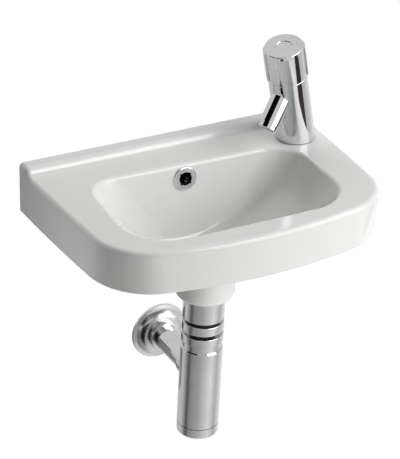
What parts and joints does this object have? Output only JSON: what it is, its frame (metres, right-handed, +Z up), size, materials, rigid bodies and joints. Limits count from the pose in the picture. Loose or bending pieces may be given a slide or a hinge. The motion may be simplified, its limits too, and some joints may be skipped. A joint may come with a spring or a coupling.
{
  "type": "hand basin",
  "caption": "Wall-hung glazed china hand basin with an oblong bowl, a leaning pillar tap at the right, a push plug and a chrome bottle trap with a pipe to the wall.",
  "frame": {"origin": "on the wall plane, midway between the two fixing holes", "axes": "+X to the right seen from the front, +Y into the wall, +Z up"},
  "size_m": [0.3996, 0.2895, 0.5112],
  "materials": {
    "china": "gloss white glaze",
    "chrome": "polished",
    "brass": "turned",
    "steel": "plain",
    "rubber": "matt black",
    "disc_ceramic": "lapped",
    "insert_plastic": "moulded"
  },
  "bodies": {
    "basin_set": {"basin": "china", "overflow_ring": "chrome", "waste_body": "chrome", "waste_sleeve_nut": "chrome", "trap_inlet_nut": "chrome", "trap_top_cap": "chrome", "trap_bottle": "chrome", "trap_bottom_cap": "chrome", "outlet_pipe": "chrome", "wall_rosette": "chrome", "tap_body": "chrome", "aerator_housing": "chrome", "trap_dip_tube": "chrome", "plug_cartridge": "brass", "tap_shank": "brass", "tap_backnut": "brass", "headwork": "brass", "tap_steel_washer": "steel", "waste_top_seal": "rubber", "waste_lower_seal": "rubber", "trap_inlet_seal": "rubber", "trap_neck_seal": "rubber", "trap_bottom_seal": "rubber", "outlet_seal": "rubber", "tap_gasket": "rubber", "tap_rubber_washer": "rubber", "disc_seal": "rubber", "spindle_seal": "rubber", "aerator_seal": "rubber", "fixed_disc": "disc_ceramic", "aerator_insert": "insert_plastic"},
    "tap_handle_set": {"tap_handle": "chrome", "index_cap": "chrome", "handle_screw": "steel", "spindle": "brass", "moving_disc": "disc_ceramic"},
    "plug_set": {"plug_cap": "chrome", "plug_seal": "rubber", "plug_stem": "brass"}
  },
  "joints": [
    {"name": "tap_turn", "type": "hinge", "parent": "basin_set", "child": "tap_handle_set", "pos_m": [0.1596, -0.056, 0.0345], "axis": [-0.2568, -0.109, 0.9603], "range_deg": [0, 90]},
    {"name": "plug_lift", "type": "slide", "parent": "basin_set", "child": "plug_set", "axis": [0, 0, 1], "range_m": [0, 0.008]}
  ]
}
